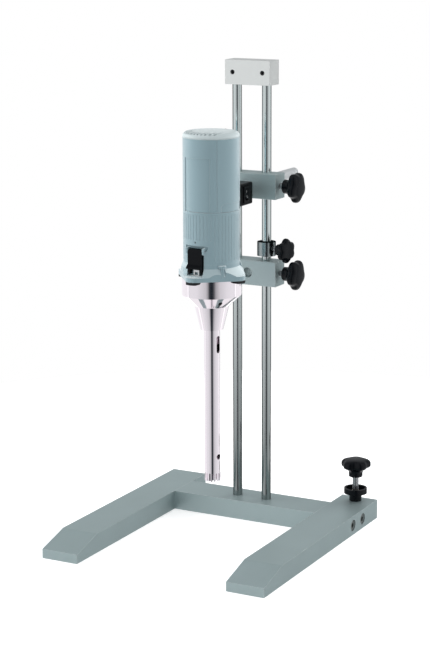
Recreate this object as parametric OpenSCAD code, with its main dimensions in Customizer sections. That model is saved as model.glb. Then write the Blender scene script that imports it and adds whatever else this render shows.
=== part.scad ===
// Laboratory homogenizer: a hand-size motor drive with a dispersing generator, on a twin-column stand.
// The origin is on the bench, midway between the columns. +X is right, +Y is to the rear, +Z is up.

/* [Base] */
// Overall width across both legs
base_w = 306; // [280:1:340]
// Width of a leg bar
leg_w = 50; // [44:1:60]
// Height of the leg bars and of the crossbar
leg_h = 25; // [22:0.5:30]
// Length of a leg bar
leg_l = 333; // [310:1:380]
// Distance from the column plane to the rear end of the legs
leg_rear = 62.5; // [60:0.5:80]
// Length of the bevel on a leg's nose
nose_l = 48; // [20:1:80]
// Height of a leg's nose at its very front
nose_h = 12; // [6:0.5:18]
// Depth of the crossbar, front to back
crossbar_d = 50; // [46:1:56]
// Distance between the two screws that join a leg to the crossbar
leg_screw_pitch = 30; // [26:0.5:32]

/* [Columns] */
// Radius of a column
column_r = 6; // [5.5:0.1:7]
// Distance between the column axes
column_pitch = 42; // [40:0.5:44]
// Height of the top block's upper face above the bench
stand_h = 599.5; // [590:0.5:640]
// Width of the top block
top_block_w = 63; // [60:0.5:72]
// Depth of the top block
top_block_d = 26; // [23:0.5:32]
// Height of the top block
top_block_h = 31; // [28:0.5:36]
// Depth of a column's seat in the crossbar
column_seat = 16; // [14:0.5:18]
// Depth of a column's seat in the top block
column_head_seat = 24.5; // [20:0.5:26]

/* [Clamp blocks] */
// Width of a clamp block
block_w = 80; // [74:0.5:86]
// Depth of a clamp block
block_d = 26; // [23:0.5:30]
// Height of a clamp block
block_h = 32; // [26:0.5:34]
// Height of the upper block's underside above the bench
upper_block_z = 425; // [422:0.5:440]
// Height of the lower block's underside above the bench
lower_block_z = 312.5; // [300:0.5:315]
// Radius of the support rod
rod_r = 6.5; // [6:0.1:7]
// Length of the support rod that stands out behind the column plane
rod_rear = 125; // [90:1:160]

/* [Star knobs] */
// Radius of a large star knob
knob_r = 20; // [18:0.5:22]
// Radius of the small star knob
small_knob_r = 16; // [14:0.5:16.5]
// Height of a large star knob
knob_h = 24; // [20:0.5:26]
// Radius of a large knob's hub
knob_hub_r = 9; // [8:0.25:10.5]
// Length of stud that shows between a knob and what it screws into
knob_gap = 5.8; // [4:0.1:8]
// Radius of the thread on the large knobs
stud_r = 4; // [3.5:0.1:4.5]
// Radius of the thread on the small knob
small_stud_r = 3; // [2.5:0.1:3.5]

/* [Stop collar] */
// Radius of the stop collar
collar_r = 12; // [11:0.25:13]
// Height of the stop collar
collar_h = 18; // [15:0.5:20]
// Gap between the lower block and the collar
collar_lift = 6.1; // [5:0.1:12]
// Angle of the collar's knob, towards the front
collar_turn = 11; // [9:1:30]

/* [Levelling screw] */
// Distance from a leg's rear end to the levelling screw
level_inset = 14.7; // [14:0.1:18]
// Height of the levelling knob's underside above the leg
level_knob_lift = 32.5; // [31:0.5:45]
// Radius of the lock nut's dish
nut_r = 15; // [13:0.5:17]
// Radius of the lock nut's hub
nut_hub_r = 8; // [7.6:0.1:9.5]
// Height of the lock nut's hub
nut_hub_h = 10; // [8:0.5:12]
// Height of the lock nut's dish
nut_dish_h = 7; // [5:0.5:9]

/* [Drive] */
// Distance from the column plane forward to the drive's axis
drive_reach = 110; // [108:0.5:140]
// Turn of the drive's front about its axis, towards the left
face_turn = 6.5; // [0:0.5:20]
// Height of the support rod above the flange's underside
rod_above_flange = 101; // [98:0.5:104]
// Outer radius of the casing and housing
body_r = 35; // [34:0.1:36]
// Wall of the casing and housing
body_wall = 2.6; // [2:0.1:3]
// Width of the square flange across its flats
flange_w = 74.4; // [74:0.1:78]
// Radius of the flange's corners
flange_corner_r = 12; // [8:0.5:14]
// Thickness of the flange
flange_t = 5.6; // [5:0.1:7]
// Height of the lower casing above the flange
casing_h = 79.1; // [78:0.1:84]
// Height of the motor housing above the seam
housing_h = 88.6; // [86:0.1:96]
// Height of the vent cap
cap_h = 8.2; // [8:0.1:12]
// Radius of the cap's shoulder
cap_shoulder_r = 5.3; // [4:0.1:5.3]
// Number of vent slots in the cap
vent_count = 10; // [6:2:10]
// Pitch of the vent slots
vent_pitch = 4.9; // [4.6:0.1:5.2]
// Number of ribs round the lower casing
rib_count = 48; // [24:4:48]

/* [Clamp lever] */
// Width of the clamp lever
lever_w = 20.5; // [16:0.5:21.5]
// Thickness of the clamp lever
lever_t = 6.4; // [5.6:0.1:7]
// Height of the lever's hinge above the flange
lever_hinge_h = 31.5; // [30:0.5:33]
// Radius of the lever's hinge pin
lever_pin_r = 1.5; // [1.2:0.1:1.8]

/* [Bracket and switch] */
// Width of the rod bracket
bracket_w = 30; // [28:0.5:34]
// Height of the rod bracket
bracket_h = 28; // [26:0.5:34]
// Distance from the drive's axis back to the bracket's rear face
bracket_reach = 81.5; // [78:0.5:84]
// Width of the rocker switch opening
switch_w = 11; // [9:0.5:13]
// Height of the rocker switch opening
switch_h = 18; // [15:0.5:20]

/* [Adapter and generator] */
// Radius of the adapter's rim
adapter_r = 37.4; // [36.5:0.1:38]
// Height of the adapter's rim
adapter_rim_h = 21.5; // [18:0.5:24]
// Height of the adapter's cone
adapter_cone_h = 14.5; // [12:0.5:17]
// Height of the adapter's nose
adapter_nose_h = 30; // [24:0.5:36]
// Radius at the top of the adapter's nose
nose_top_r = 21.8; // [19:0.1:24]
// Radius at the bottom of the adapter's nose
nose_tip_r = 14.5; // [13:0.1:16]
// Radius of the generator tube
tube_r = 10.1; // [9.5:0.1:11]
// Wall of the generator tube
tube_wall = 2; // [1.6:0.1:2.2]
// Length of the generator below the adapter
tube_l = 195.7; // [180:0.5:230]
// Number of slots in the stator head
stator_slots = 15; // [10:1:15]
// Height of the stator head's slots
stator_slot_h = 10.5; // [8:0.5:12]

/* [Hidden] */
$fn = 64;

// Fits: seats within one body, running fits, free air between bodies, and the overrun of a cut
seat = 0.02;
running = 0.05;
air = 0.3;
overrun = 1;

// Levels and places that follow from the sizes above
leg_x = base_w / 2 - leg_w / 2;
crossbar_w = base_w - 2 * leg_w;
column_x = column_pitch / 2;
top_block_z = stand_h - top_block_h;
rod_z = upper_block_z + block_h / 2;
collar_z = lower_block_z + block_h + collar_lift;
level_y = leg_rear - level_inset;
flange_z = rod_z - rod_above_flange;
casing_z = flange_z + flange_t;
seam = 0.3;
housing_z = casing_z + casing_h + seam;
cap_z = housing_z + housing_h;
cavity_r = body_r - body_wall;
adapter_bottom_z = flange_z - adapter_rim_h - adapter_cone_h - adapter_nose_h;
tip_z = adapter_bottom_z - tube_l;

// Fasteners of the base: screw, its head, and the counterbore for it
leg_screw_r = 4;
leg_screw_head_r = 6.5;
leg_screw_head_h = 8;
leg_screw_bite = 20;
counterbore_r = 7.5;
counterbore_d = 9;
column_screw_r = 3;
column_screw_head_r = 5;
column_screw_head_h = 4.5;
column_screw_grip = 12;
set_screw_r = 3;
set_screw_l = 5.6;
screw_gap = 0.2;

// Shape of the star knobs, as shares of their height and radius
knob_neck_share = 0.2;
knob_waist_share = 0.45;
knob_rim_share = 0.61;
knob_edge_share = 0.73;
knob_crown_share = 0.9;
knob_valley_share = 0.19;
stud_in_knob = 13;
small_knob_h = knob_h * small_knob_r / knob_r;
small_hub_r = knob_hub_r * small_knob_r / knob_r;
small_stud_in_knob = 10;
large_lobes = 5;
small_lobes = 6;

// Shape of the casing's foot and of the pocket that the lever lies in
foot_ring_r = 38.7;
foot_ring_top_r = 37.3;
foot_ring_h = 9.4;
foot_shoulder_h = 6;
slope_h = 10;
slope_start_turn = 17;
slope_wide_turn = 62;
slope_end_turn = 118;
slope_steep_r = 38.4;
slope_wide_r = 44.5;
slope_lap = 1;
lever_flat = 30;
pocket_top_h = 38;
pocket_side_h = 35.5;
pocket_wide = 33;
pocket_slant_h = 28;
pocket_narrow = 22.4;
pocket_floor = 0.8;
ear_t = 2.6;
ear_reach = 36.4;
lever_gap = 0.4;
lower_cavity_h = 42;
bearing_shoulder = 9;
lip_h = 4;
rib_r = 0.7;
rib_out = 0.3;
rib_top_h = 76;
rib_low_h = 19;
rib_front_low_h = 45;

// Inner drive train, as a chain of heights above the flange's underside
housing_top_h = flange_t + casing_h + seam + housing_h;
web_t = 5;
lower_bearing_h = lower_cavity_h + bearing_shoulder;
lower_bearing_w = 8;
lower_bearing_r = 13;
web_top_h = lower_bearing_h + lower_bearing_w;
fan_gap = 8;
fan_h = web_top_h + fan_gap;
fan_w = 11;
fan_r = 22.5;
core_gap = 12;
core_h = fan_h + fan_w + core_gap;
end_turn_w = 7;
coil_gap = 3;
commutator_w = 12;
commutator_r = 11;
commutator_gap = 5;
upper_bearing_drop = 14.6;
upper_bearing_h = housing_top_h - upper_bearing_drop;
upper_bearing_w = 7;
upper_bearing_r = 11;
commutator_h = upper_bearing_h - commutator_gap - commutator_w;
core_w = commutator_h - coil_gap - end_turn_w - core_h;
core_r = 15.5;
field_bore_r = 16.4;
shaft_r = 5;
shaft_top_r = 4;
shaft_low_h = 14;
coupling_h = 2;
coupling_w = 26;
coupling_r = 9.5;
drive_shaft_r = 3;
spigot_r = 25.95;
spigot_h = 9;
adapter_bore_r = 12;
boss_inset = 3.5;
boss_ring_r = cavity_r - boss_inset;
boss_r = 3.9;
boss_screw_r = 2;
boss_screw_head_r = 3.2;
boss_h = 17;
boss_top_h = flange_t + casing_h + seam + lip_h + screw_gap + boss_h;

// Evaluates the points of an arc from angle a0 to a1 in n steps
function arc(cx, cy, r, a0, a1, n) =
    [for (i = [0:n]) [cx + r * cos(a0 + (a1 - a0) * i / n), cy + r * sin(a0 + (a1 - a0) * i / n)]];

// Outline of a rectangle with round corners, centred on the origin
function round_rect(w, d, r) = concat(
    arc(w / 2 - r, d / 2 - r, r, 0, 90, 5), arc(r - w / 2, d / 2 - r, r, 90, 180, 5),
    arc(r - w / 2, r - d / 2, r, 180, 270, 5), arc(w / 2 - r, r - d / 2, r, 270, 360, 5));

// Outline of a star grip: smooth lobes between valleys
function star(r, lobes, steps) =
    [for (i = [0:lobes * steps - 1]) let (a = 360 * i / (lobes * steps),
        q = r * (1 - knob_valley_share * pow((1 - cos(lobes * a)) / 2, 1.4))) [q * cos(a), q * sin(a)]];

// Places children with their Z axis along +X or +Y
module along_x() { rotate([0, 90, 0]) children(); }
module along_y() { rotate([-90, 0, 0]) children(); }

// Places children at the drive's axis, at a height above the flange's underside
module on_drive(h = 0) { translate([0, -drive_reach, flange_z + h]) children(); }

// As on_drive, turned so that -Y is the drive's own front
module on_face(h = 0) { on_drive(h) rotate([0, 0, -face_turn]) children(); }

// A cylinder with a hexagon socket in its top: a screw head or a set screw
module socket_head(r, h, socket_r, socket_d) {
    difference() {
        cylinder(r = r, h = h);
        translate([0, 0, h - socket_d]) cylinder(r = socket_r, h = socket_d + overrun, $fn = 6);
    }
}

// A socket-head screw with its head's underside at the origin and its shank down -Z
module socket_screw(r, l, head_r, head_h) {
    socket_head(head_r, head_h, head_r * 0.5, head_h * 0.5);
    translate([0, 0, -l]) cylinder(r = r, h = l + head_h * 0.3);
}

module ring(r_out, r_in, h) {
    difference() {
        cylinder(r = r_out, h = h);
        translate([0, 0, -overrun]) cylinder(r = r_in, h = h + 2 * overrun);
    }
}

// A sector of angle a, centred on -Y, as a prism of radius r
module sector(r, a, h) {
    linear_extrude(h) polygon(concat([[0, 0]], arc(0, 0, r, -90 - a / 2, -90 + a / 2, 6)));
}

// A star knob that stands on its hub, with a blind bore for its stud
module star_knob(r, h, hub_r, lobes, bore_r, bore_d) {
    difference() {
        intersection() {
            rotate_extrude() polygon([[0, 0], [hub_r, 0], [hub_r, h * knob_neck_share],
                [hub_r + (r - hub_r) * 0.32, h * knob_waist_share], [r * 0.97, h * knob_rim_share],
                [r, h * (knob_rim_share + 0.04)], [r, h * knob_edge_share],
                [r * 0.93, h * (knob_edge_share + 0.08)], [r * 0.66, h * knob_crown_share],
                [r * 0.34, h * 0.97], [0, h]]);
            translate([0, 0, -overrun]) linear_extrude(h + 2 * overrun) polygon(star(r, lobes, 10));
        }
        translate([0, 0, -overrun]) cylinder(r = bore_r + running, h = bore_d + overrun);
    }
}

// Base

module leg(side) {
    color("silver") difference() {
        translate([side * leg_x - leg_w / 2, 0, 0]) rotate([90, 0, 90]) linear_extrude(leg_w)
            polygon([[leg_rear, 0], [leg_rear, leg_h], [leg_rear - leg_l + nose_l, leg_h],
                [leg_rear - leg_l, nose_h], [leg_rear - leg_l, 0]]);
        for (y = [-1, 1])
            translate([side * (leg_x - leg_w / 2 - overrun), y * leg_screw_pitch / 2, leg_h / 2])
            rotate([0, side * 90, 0]) {
                cylinder(r = leg_screw_r + screw_gap, h = leg_w + 2 * overrun);
                translate([0, 0, overrun + leg_w - counterbore_d])
                    cylinder(r = counterbore_r, h = counterbore_d + overrun);
            }
        if (side > 0) translate([leg_x, level_y, -overrun])
            cylinder(r = stud_r + running, h = leg_h + 2 * overrun);
    }
}

module left_leg() { leg(-1); }
module right_leg() { leg(1); }

module crossbar() {
    color("silver") difference() {
        translate([-crossbar_w / 2, -crossbar_d / 2, 0]) cube([crossbar_w, crossbar_d, leg_h]);
        for (s = [-1, 1]) {
            translate([s * column_x, 0, leg_h - column_seat])
                cylinder(r = column_r + seat, h = column_seat + overrun);
            translate([s * column_x, 0, -overrun]) {
                cylinder(r = column_screw_r + screw_gap, h = leg_h);
                cylinder(r = column_screw_head_r + screw_gap, h = column_screw_head_h + overrun);
            }
            for (y = [-1, 1])
                translate([s * (crossbar_w / 2 + overrun), y * leg_screw_pitch / 2, leg_h / 2])
                rotate([0, -s * 90, 0]) cylinder(r = leg_screw_r + seat, h = leg_screw_bite + 2 * overrun);
        }
    }
}

module leg_screws() {
    color("dimgray") for (s = [-1, 1], y = [-1, 1])
        translate([s * (leg_x + leg_w / 2 - counterbore_d), y * leg_screw_pitch / 2, leg_h / 2])
            rotate([0, s * 90, 0])
            socket_screw(leg_screw_r, leg_w - counterbore_d + leg_screw_bite, leg_screw_head_r,
                leg_screw_head_h);
}

module column(side) {
    color("gainsboro") translate([side * column_x, 0, leg_h - column_seat]) difference() {
        cylinder(r = column_r, h = top_block_z + column_head_seat - leg_h + column_seat);
        translate([0, 0, -overrun]) cylinder(r = column_screw_r + seat,
            h = column_screw_grip + 2 * overrun);
    }
}

module left_column() { column(-1); }
module right_column() { column(1); }

module column_screws() {
    color("dimgray") for (s = [-1, 1]) translate([s * column_x, 0, column_screw_head_h]) rotate([180, 0, 0])
        socket_screw(column_screw_r, leg_h - column_seat - column_screw_head_h + column_screw_grip,
            column_screw_head_r, column_screw_head_h);
}

module top_block() {
    color("whitesmoke") difference() {
        translate([-top_block_w / 2, -top_block_d / 2, top_block_z])
            cube([top_block_w, top_block_d, top_block_h]);
        for (s = [-1, 1]) {
            translate([s * column_x, 0, top_block_z - overrun])
                cylinder(r = column_r + seat, h = column_head_seat + overrun);
            translate([s * column_x, -top_block_d / 2 - overrun, top_block_z + top_block_h / 2]) along_y()
                cylinder(r = set_screw_r + seat, h = top_block_d / 2 + overrun);
        }
    }
}

module top_set_screws() {
    color("dimgray") for (s = [-1, 1])
        translate([s * column_x, -column_r - screw_gap, top_block_z + top_block_h / 2]) rotate([90, 0, 0])
            socket_head(set_screw_r, set_screw_l, set_screw_r * 0.55, set_screw_l * 0.5);
}

// Levelling screw

module levelling_stud() {
    color("silver") translate([leg_x, level_y, screw_gap])
        cylinder(r = stud_r, h = leg_h + level_knob_lift + stud_in_knob - 2 * screw_gap);
}

module levelling_knob() {
    color("dimgray") translate([leg_x, level_y, leg_h + level_knob_lift])
        star_knob(knob_r, knob_h, knob_hub_r, large_lobes, stud_r, stud_in_knob);
}

nut_wall = 2.5;
insert_r = 6;

module lock_nut() {
    color("dimgray") translate([leg_x, level_y, leg_h + screw_gap]) rotate_extrude()
        polygon([[insert_r + running, 0], [nut_hub_r, 0], [nut_hub_r, nut_hub_h * 0.7], [nut_r, nut_hub_h],
            [nut_r, nut_hub_h + nut_dish_h], [nut_r - nut_wall, nut_hub_h + nut_dish_h],
            [nut_r - nut_wall, nut_hub_h + nut_wall], [insert_r + running, nut_hub_h + nut_wall]]);
}

module lock_nut_insert() {
    color("goldenrod") translate([leg_x, level_y, leg_h + screw_gap])
        ring(insert_r, stud_r + running, nut_hub_h + nut_wall);
}

// Clamp blocks, their knobs and the stop collar

module clamp_block(z) {
    color("silver") difference() {
        translate([-block_w / 2, -block_d / 2, z]) cube([block_w, block_d, block_h]);
        for (s = [-1, 1]) translate([s * column_x, 0, z - overrun])
            cylinder(r = column_r + running, h = block_h + 2 * overrun);
        translate([0, -block_d / 2 - overrun, z + block_h / 2]) along_y()
            cylinder(r = rod_r + running, h = block_d + 2 * overrun);
        translate([column_x, 0, z + block_h / 2]) along_x()
            cylinder(r = stud_r + running, h = block_w / 2 - column_x + overrun);
        translate([0, 0, z - overrun]) cylinder(r = set_screw_r + seat, h = block_h / 2);
    }
}

module clamp_stud(z) {
    color("silver") translate([column_x + column_r + air, 0, z + block_h / 2]) along_x()
        cylinder(r = stud_r,
            h = block_w / 2 - column_x - column_r - air + knob_gap + stud_in_knob - screw_gap);
}

module clamp_knob(z) {
    color("dimgray") translate([block_w / 2 + knob_gap, 0, z + block_h / 2]) along_x()
        star_knob(knob_r, knob_h, knob_hub_r, large_lobes, stud_r, stud_in_knob);
}

module lock_screw(z) {
    color("dimgray") translate([0, 0, z + block_h / 2 - rod_r - air]) rotate([180, 0, 0])
        socket_head(set_screw_r, set_screw_l, set_screw_r * 0.55, set_screw_l * 0.5);
}

module upper_clamp_block() { clamp_block(upper_block_z); }
module upper_clamp_stud() { clamp_stud(upper_block_z); }
module upper_clamp_knob() { clamp_knob(upper_block_z); }
module rod_lock_screw() { lock_screw(upper_block_z); }
module lower_clamp_block() { clamp_block(lower_block_z); }
module lower_clamp_stud() { clamp_stud(lower_block_z); }
module lower_clamp_knob() { clamp_knob(lower_block_z); }
module lower_lock_screw() { lock_screw(lower_block_z); }

module on_collar() {
    translate([column_x, 0, collar_z + collar_h / 2]) rotate([0, 0, -collar_turn]) along_x() children();
}

module stop_collar() {
    color("gainsboro") difference() {
        translate([column_x, 0, collar_z]) ring(collar_r, column_r + running, collar_h);
        on_collar() cylinder(r = small_stud_r + running, h = collar_r + overrun);
    }
}

module collar_stud() {
    color("silver") on_collar() translate([0, 0, column_r + air])
        cylinder(r = small_stud_r,
            h = collar_r - column_r - air + knob_gap + small_stud_in_knob - screw_gap);
}

module collar_knob() {
    color("dimgray") on_collar() translate([0, 0, collar_r + knob_gap])
        star_knob(small_knob_r, small_knob_h, small_hub_r, small_lobes, small_stud_r, small_stud_in_knob);
}

// Support rod, its bracket on the drive, and the power switch in the bracket's side

bracket_round = 2.5;
bracket_drop = 20;
bracket_z = rod_z - bracket_drop;
bracket_rear_y = bracket_reach - drive_reach;
rod_seat = 30;
rod_chamfer = 1;
switch_inset = 17;
switch_y = bracket_rear_y - switch_inset;
switch_z = bracket_z + bracket_h / 2;
switch_depth = 7;
bezel_rim = 1.6;
bezel_t = 1.2;
rocker_tilt = 7;
rocker_in = 3;
rocker_pin_r = 1.2;
rocker_pin_l = 1;

module support_rod() {
    l = rod_rear - bracket_rear_y + rod_seat;
    color("whitesmoke") translate([0, bracket_rear_y - rod_seat, rod_z]) along_y() rotate_extrude()
        polygon([[0, 0], [rod_r - rod_chamfer, 0], [rod_r, rod_chamfer], [rod_r, l - rod_chamfer],
            [rod_r - rod_chamfer, l], [0, l]]);
}

bracket_screw_r = 1.75;
bracket_screw_head_r = 3;
bracket_screw_x = 4.2;
bracket_screw_h = 7.5;
bracket_screw_depth = 30;

module rod_bracket() {
    color("dimgray") difference() {
        translate([0, bracket_rear_y, bracket_z + bracket_h / 2]) rotate([90, 0, 0])
            linear_extrude(bracket_reach - body_r * 0.86)
            polygon(round_rect(bracket_w, bracket_h, bracket_round));
        on_drive(-overrun) cylinder(r = body_r + seat, h = casing_h + housing_h);
        translate([0, bracket_rear_y - rod_seat, rod_z]) along_y()
            cylinder(r = rod_r + seat, h = rod_seat + overrun);
        translate([-bracket_w / 2 - overrun, bracket_rear_y - rod_seat / 2, rod_z]) along_x()
            cylinder(r = set_screw_r + seat, h = bracket_w / 2 + overrun);
        for (s = [-1, 1])
            translate([s * bracket_screw_x, bracket_rear_y + overrun, bracket_z + bracket_screw_h])
            rotate([90, 0, 0]) {
                cylinder(r = bracket_screw_r + screw_gap, h = bracket_reach);
                cylinder(r = bracket_screw_head_r + screw_gap, h = bracket_screw_depth + overrun);
            }
        translate([bracket_w / 2 - switch_depth, switch_y - switch_w / 2 - seat,
            switch_z - switch_h / 2 - seat])
            cube([switch_depth + overrun, switch_w + 2 * seat, switch_h + 2 * seat]);
    }
}

module bracket_screws() {
    color("silver") for (s = [-1, 1])
        translate([s * bracket_screw_x, bracket_rear_y - bracket_screw_depth, bracket_z + bracket_screw_h])
            rotate([-90, 0, 0]) socket_screw(bracket_screw_r,
                bracket_reach - bracket_screw_depth - body_r + body_wall,
                bracket_screw_head_r, bracket_screw_head_r);
}

module bracket_grub_screw() {
    color("dimgray") translate([-rod_r - screw_gap, bracket_rear_y - rod_seat / 2, rod_z])
        rotate([0, -90, 0])
        socket_head(set_screw_r, set_screw_l, set_screw_r * 0.55, set_screw_l * 0.5);
}

module switch_bezel() {
    inner_w = switch_w - 2 * bezel_rim;
    inner_h = switch_h - 2 * bezel_rim;
    color("black") difference() {
        union() {
            translate([bracket_w / 2 - switch_depth + seat, switch_y - switch_w / 2,
                switch_z - switch_h / 2])
                cube([switch_depth, switch_w, switch_h]);
            translate([bracket_w / 2, switch_y - switch_w / 2 - bezel_rim,
                switch_z - switch_h / 2 - bezel_rim])
                cube([bezel_t, switch_w + 2 * bezel_rim, switch_h + 2 * bezel_rim]);
        }
        translate([bracket_w / 2 - switch_depth + bezel_rim, switch_y - inner_w / 2,
            switch_z - inner_h / 2])
            cube([switch_depth + bezel_t, inner_w, inner_h]);
        translate([bracket_w / 2 - rocker_in, switch_y + inner_w / 2 + rocker_pin_l, switch_z])
            rotate([90, 0, 0]) cylinder(r = rocker_pin_r + running, h = inner_w + 2 * rocker_pin_l);
    }
}

// The rocker is a shallow V that pivots on two round pins, drawn at rest in its off position
module switch_rocker() {
    w = switch_w - 2 * bezel_rim - 2 * air;
    h = switch_h - 2 * bezel_rim - 2 * air - bezel_rim;
    color("black") translate([bracket_w / 2 - rocker_in, switch_y + w / 2, switch_z])
        rotate([0, -rocker_tilt, 0]) rotate([90, 0, 0]) {
            linear_extrude(w) polygon([[-rocker_in * 0.3, -h / 2], [rocker_in + bezel_t * 1.5, -h / 2],
                [rocker_in + bezel_t * 0.6, 0], [rocker_in + bezel_t * 1.5, h / 2],
                [-rocker_in * 0.3, h / 2], [-rocker_in * 0.5, 0]]);
            translate([0, 0, -rocker_pin_l]) cylinder(r = rocker_pin_r, h = w + 2 * rocker_pin_l);
        }
}

// Drive: housing, cap, dial and gland

panel_angle = 62;
panel_depth = 0.8;
panel_top_h = 65.4;
line_angle = 46;
line_w = 0.5;
line_d = 0.35;
arch_angle = 90;
arch_w = 40;
arch_h = 10.5;
arch_round = 5;
arch_d = 0.6;
dial_r = 9.5;
dial_w = 6;
dial_in = 29;
dial_drop = 2.6;
dial_h = housing_top_h - dial_drop;
dial_turn = 166;
dial_pin_r = 1.5;
dial_cheek = 2;
gland_turn = 230;
gland_drop = 25.6;
gland_h = housing_top_h - gland_drop;
gland_r = 7;
gland_thread_r = 5;
gland_bore_r = 3.4;
gland_l = 11;
brush_w = 5;
brush_t = 7;
brush_h = commutator_h + commutator_w / 2;
brush_l = 10;
holder_wall = 1.2;

// The dial's own frame: its axis along +X, across the rear wall
module on_dial() { on_drive(dial_h) rotate([0, 0, dial_turn]) translate([0, -dial_in, 0]) children(); }

module dial_slot() {
    on_dial() translate([-dial_w / 2 - air, 0, 0]) along_x()
        cylinder(r = dial_r + air, h = dial_w + 2 * air);
}

// The two cheeks that hold the dial's pin, as one block before the slot is cut
module dial_cheeks(grow) {
    w = dial_w + 2 * (air + dial_cheek) + 2 * grow;
    on_drive(upper_bearing_h + web_t) rotate([0, 0, dial_turn])
        translate([-w / 2, -cavity_r - overrun + grow, 0])
        cube([w, cavity_r + overrun - dial_in + dial_cheek * 2,
            cap_z - flange_z - upper_bearing_h - web_t + grow]);
}

module motor_housing() {
    color("lightslategray") difference() {
        union() {
            translate([0, -drive_reach, housing_z]) difference() {
                cylinder(r = body_r, h = housing_h);
                translate([0, 0, -overrun]) cylinder(r = cavity_r, h = housing_h + 2 * overrun);
            }
            on_drive(upper_bearing_h + overrun) cylinder(r = cavity_r + overrun, h = web_t);
            on_drive(upper_bearing_h) cylinder(r = upper_bearing_r + body_wall, h = upper_bearing_w);
            dial_cheeks(0);
            for (a = [45:90:315]) on_drive() rotate([0, 0, a])
                translate([0, -boss_ring_r, boss_top_h - boss_h])
                cylinder(r = boss_r, h = boss_h);
        }
        on_drive(upper_bearing_h - overrun) cylinder(r = upper_bearing_r + seat,
            h = upper_bearing_w + overrun);
        on_drive(upper_bearing_h) cylinder(r = upper_bearing_r * 0.8, h = upper_bearing_w * 2);
        for (a = [0:60:300]) on_drive(upper_bearing_h) rotate([0, 0, a + 30])
            translate([0, -cavity_r * 0.71, 0])
            cylinder(r = cavity_r * 0.16, h = upper_bearing_w * 2);
        for (a = [45:90:315]) on_drive() rotate([0, 0, a])
            translate([0, -boss_ring_r, boss_top_h - boss_h - overrun])
            cylinder(r = boss_screw_r + seat, h = boss_h + 2 * overrun);
        on_face(housing_z - flange_z - overrun) difference() {
            sector(body_r * 1.5, panel_angle, panel_top_h + overrun);
            translate([0, 0, -overrun]) cylinder(r = body_r - panel_depth, h = panel_top_h + 3 * overrun);
        }
        for (s = [-1, 1]) {
            on_face(housing_z - flange_z - overrun) rotate([0, 0, s * line_angle])
                translate([-line_w / 2, -body_r - overrun, 0])
                    cube([line_w, line_d + overrun, housing_h + 2 * overrun]);
            on_face(housing_z - flange_z) rotate([0, 0, s * arch_angle]) difference() {
                rotate([90, 0, 0]) linear_extrude(body_r + overrun)
                    polygon(round_rect(arch_w, arch_h * 2, arch_round));
                translate([0, 0, -arch_h * 2]) cylinder(r = body_r - arch_d, h = arch_h * 4);
            }
        }
        dial_slot();
        on_drive(gland_h) rotate([0, 0, gland_turn]) rotate([90, 0, 0])
            translate([0, 0, cavity_r - 2 * overrun])
            cylinder(r = gland_thread_r + seat, h = body_r);
        for (s = [-1, 1]) translate([s * bracket_screw_x, -drive_reach, bracket_z + bracket_screw_h])
            rotate([-90, 0, 0])
            cylinder(r = bracket_screw_r + seat, h = body_r * 2);
    }
    color("silver") on_dial() translate([-dial_w / 2 - air - dial_cheek / 2, 0, 0]) along_x()
        cylinder(r = dial_pin_r, h = dial_w + 2 * air + dial_cheek);
}

module vent_cap() {
    edge = cap_h - cap_shoulder_r;
    crown = 1.2;
    under = edge - crown - line_w;
    flat_r = body_r - cap_shoulder_r;
    color("whitesmoke") difference() {
        translate([0, -drive_reach, cap_z]) rotate_extrude() polygon(concat(
            [[cavity_r - body_wall, -lip_h], [cavity_r - seat, -lip_h], [cavity_r - seat, 0],
                [body_r - line_d, 0], [body_r, line_d], [body_r, under - line_w],
                [body_r - line_d, under - line_w / 2], [body_r, under]],
            arc(flat_r, edge - crown, cap_shoulder_r, 0, 78, 6),
            [[0, cap_h], [0, cap_h - body_wall], [flat_r - body_wall, cap_h - crown - body_wall],
                [cavity_r - body_wall, 0]]));
        on_face(cap_z - flange_z) intersection() {
            for (i = [0:vent_count - 1]) translate([(i - (vent_count - 1) / 2) * vent_pitch,
                -body_r / 2, cap_h * 0.35])
                translate([-vent_pitch * 0.24, -body_r, 0]) cube([vent_pitch * 0.48, body_r * 1.5, cap_h]);
            ring(body_r * 0.955, body_r * 0.66, cap_h * 2);
        }
        dial_slot();
        dial_cheeks(seat * 10);
    }
}

module speed_dial() {
    color("dimgray") on_dial() translate([-dial_w / 2, 0, 0]) along_x()
        difference() {
            union() {
                cylinder(r = dial_r - line_w, h = dial_w);
                for (a = [0:20:340]) rotate([0, 0, a]) translate([dial_r - line_w * 2, -line_w, 0])
                    cube([line_w * 2, line_w * 2, dial_w]);
            }
            translate([0, 0, -overrun]) cylinder(r = dial_pin_r + running, h = dial_w + 2 * overrun);
        }
}

module cord_gland() {
    color("black") on_drive(gland_h) rotate([0, 0, gland_turn]) rotate([90, 0, 0])
        translate([0, 0, cavity_r - overrun])
        rotate_extrude() polygon([[gland_bore_r, 0], [gland_thread_r, 0],
            [gland_thread_r, body_wall + 2 * overrun], [gland_r, body_wall + 2 * overrun],
            [gland_r, body_wall + gland_l * 0.7], [gland_bore_r * 1.4, body_wall + gland_l],
            [gland_bore_r, body_wall + gland_l]]);
}

// Drive: lower casing with its flange, pocket, ribs and bearing web

module flange_shape(h) {
    rotate([0, 0, 45]) linear_extrude(h) polygon(round_rect(flange_w, flange_w, flange_corner_r));
}

// A sector from angle a0 to a1, counted from -Y towards +X
module turned_sector(a0, a1, h) {
    rotate([0, 0, (a0 + a1) / 2]) sector(body_r * 2, a1 - a0, h);
}

// A sloping stretch of the foot, from radius low_r on the flange up to the casing's wall
module foot_slope(a0, a1, low_r) {
    intersection() {
        rotate_extrude() polygon([[0, 0], [low_r, 0], [body_r, slope_h],
            [body_r - overrun, slope_h + overrun], [0, slope_h + overrun]]);
        translate([0, 0, -overrun]) turned_sector(a0, a1, slope_h * 2);
        translate([0, 0, -overrun]) flange_shape(slope_h * 2);
    }
}

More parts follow.
